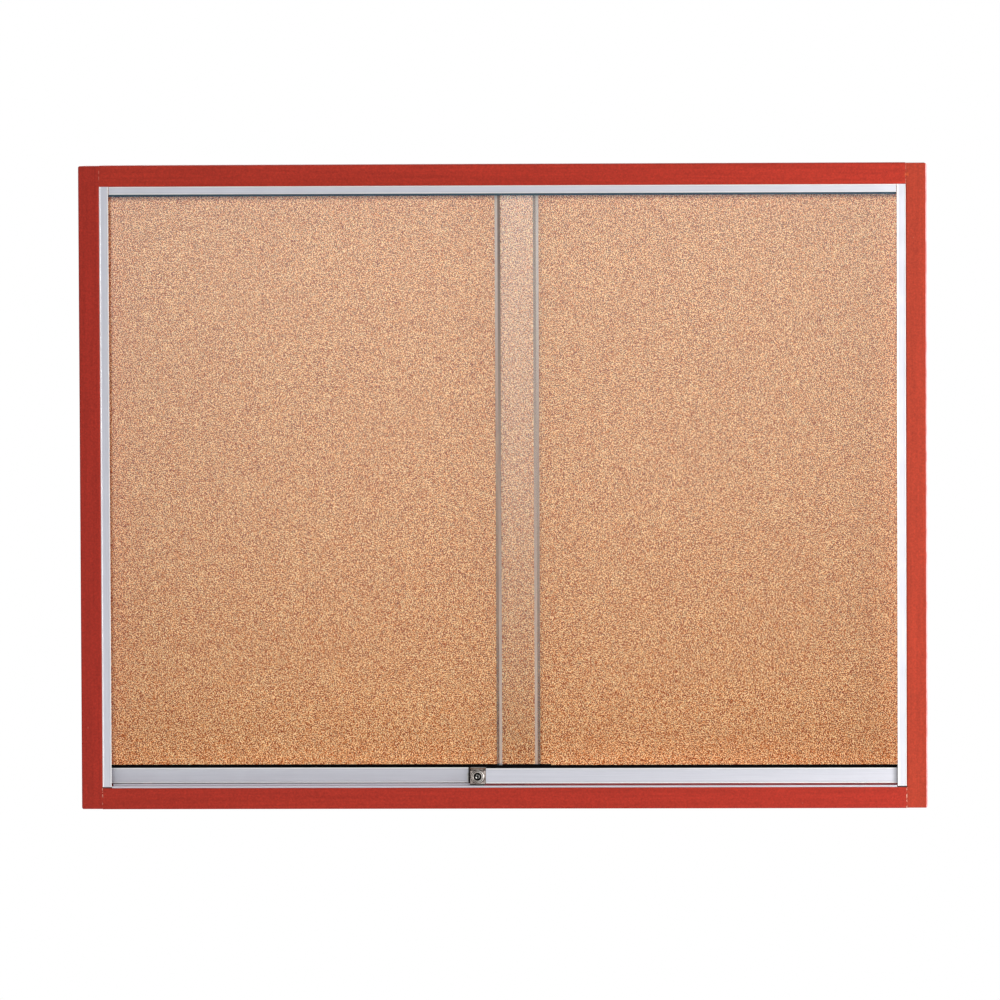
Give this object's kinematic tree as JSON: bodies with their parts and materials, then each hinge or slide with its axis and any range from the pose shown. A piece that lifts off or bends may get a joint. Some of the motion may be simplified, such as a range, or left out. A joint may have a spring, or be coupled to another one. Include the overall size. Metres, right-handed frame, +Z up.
{
  "type": "glass notice cabinet",
  "caption": "Shallow wall cabinet with a cork panel behind sliding glass doors on rollers, in a stained wood case with aluminium tracks and a ratchet lock.",
  "frame": {"origin": "centre of the cabinet's back, in the plane that meets the wall", "axes": "+X right and +Z up as seen from the front, +Y into the wall, the doors face -Y"},
  "size_m": [1.282, 0.089, 0.976],
  "materials": {
    "stained_wood": "satin",
    "bare_wood": "matte",
    "cork": "matte",
    "soft_board": "matte",
    "hardboard": "matte",
    "satin_aluminium": "satin",
    "black_plastic": "satin",
    "black_rubber": "matte",
    "clear_glass": "gloss",
    "zinc_steel": "satin",
    "nickel": "satin",
    "black_nylon": "satin"
  },
  "bodies": {
    "case": {"left_stile": "stained_wood", "right_stile": "stained_wood", "top_rail": "stained_wood", "bottom_rail": "stained_wood", "corner_dowels": "bare_wood", "cork_sheet": "cork", "board_core": "soft_board", "back_panel": "hardboard", "back_screws": "zinc_steel", "hanger_plates": "zinc_steel", "hanger_screws": "zinc_steel", "top_track": "satin_aluminium", "bottom_track": "satin_aluminium", "left_channel": "satin_aluminium", "right_channel": "satin_aluminium", "top_guides": "black_plastic", "top_track_screws": "zinc_steel", "bottom_track_screws": "zinc_steel", "channel_screws": "zinc_steel", "door_bumpers": "black_rubber"},
    "rear_door": {"rear_glass": "clear_glass", "rear_shoe": "satin_aluminium", "rear_glazing_strip": "black_rubber", "rear_roller_housings": "zinc_steel", "rear_axles": "zinc_steel", "rear_housing_screws": "zinc_steel", "ratchet_bar": "zinc_steel", "bar_spacer": "black_nylon"},
    "rear_left_roller": {"rear_wheel_left": "black_nylon"},
    "rear_right_roller": {"rear_wheel_right": "black_nylon"},
    "front_door": {"front_glass": "clear_glass", "front_shoe": "satin_aluminium", "front_glazing_strip": "black_rubber", "front_roller_housings": "zinc_steel", "front_axles": "zinc_steel", "front_housing_screws": "zinc_steel"},
    "front_left_roller": {"front_wheel_left": "black_nylon"},
    "front_right_roller": {"front_wheel_right": "black_nylon"},
    "lock": {"lock_body": "nickel", "lock_ring": "nickel", "lock_back_plate": "nickel", "lock_screws": "zinc_steel"},
    "plug": {"lock_plug": "nickel"},
    "pawl": {"lock_pawl": "zinc_steel"}
  },
  "joints": [
    {"name": "rear_door_slide", "type": "slide", "parent": "case", "child": "rear_door", "axis": [1, 0, 0], "range_m": [0, 0.531]},
    {"name": "rear_left_roll", "type": "hinge", "parent": "rear_door", "child": "rear_left_roller", "pos_m": [-0.5432, -0.05937, -0.4457], "axis": [0, 1, 0], "range_deg": [0, 4350]},
    {"name": "rear_right_roll", "type": "hinge", "parent": "rear_door", "child": "rear_right_roller", "pos_m": [0.00895, -0.05937, -0.4457], "axis": [0, 1, 0], "range_deg": [0, 4350]},
    {"name": "front_door_slide", "type": "slide", "parent": "case", "child": "front_door", "axis": [-1, 0, 0], "range_m": [0, 0.522]},
    {"name": "front_left_roll", "type": "hinge", "parent": "front_door", "child": "front_left_roller", "pos_m": [0.03435, -0.07762, -0.4457], "axis": [0, -1, 0], "range_deg": [0, 4280]},
    {"name": "front_right_roll", "type": "hinge", "parent": "front_door", "child": "front_right_roller", "pos_m": [0.5432, -0.07762, -0.4457], "axis": [0, -1, 0], "range_deg": [0, 4280]},
    {"name": "lock_slide", "type": "slide", "parent": "front_door", "child": "lock", "axis": [-1, 0, 0], "range_m": [0, 0.0295]},
    {"name": "plug_turn", "type": "hinge", "parent": "lock", "child": "plug", "pos_m": [-0.04035, -0.08, -0.4396], "axis": [0, 1, 0], "range_deg": [0, 90]},
    {"name": "pawl_slide", "type": "slide", "parent": "lock", "child": "pawl", "axis": [0, 0, -1], "range_m": [0, 0.0015]}
  ],
  "couplings": [
    {"joint": "rear_left_roll", "follows": "rear_door_slide", "rad_per_m": 142.86},
    {"joint": "rear_right_roll", "follows": "rear_door_slide", "rad_per_m": 142.86},
    {"joint": "front_left_roll", "follows": "front_door_slide", "rad_per_m": 142.86},
    {"joint": "front_right_roll", "follows": "front_door_slide", "rad_per_m": 142.86},
    {"joint": "pawl_slide", "follows": "plug_turn", "m_per_rad": 0.00095}
  ]
}
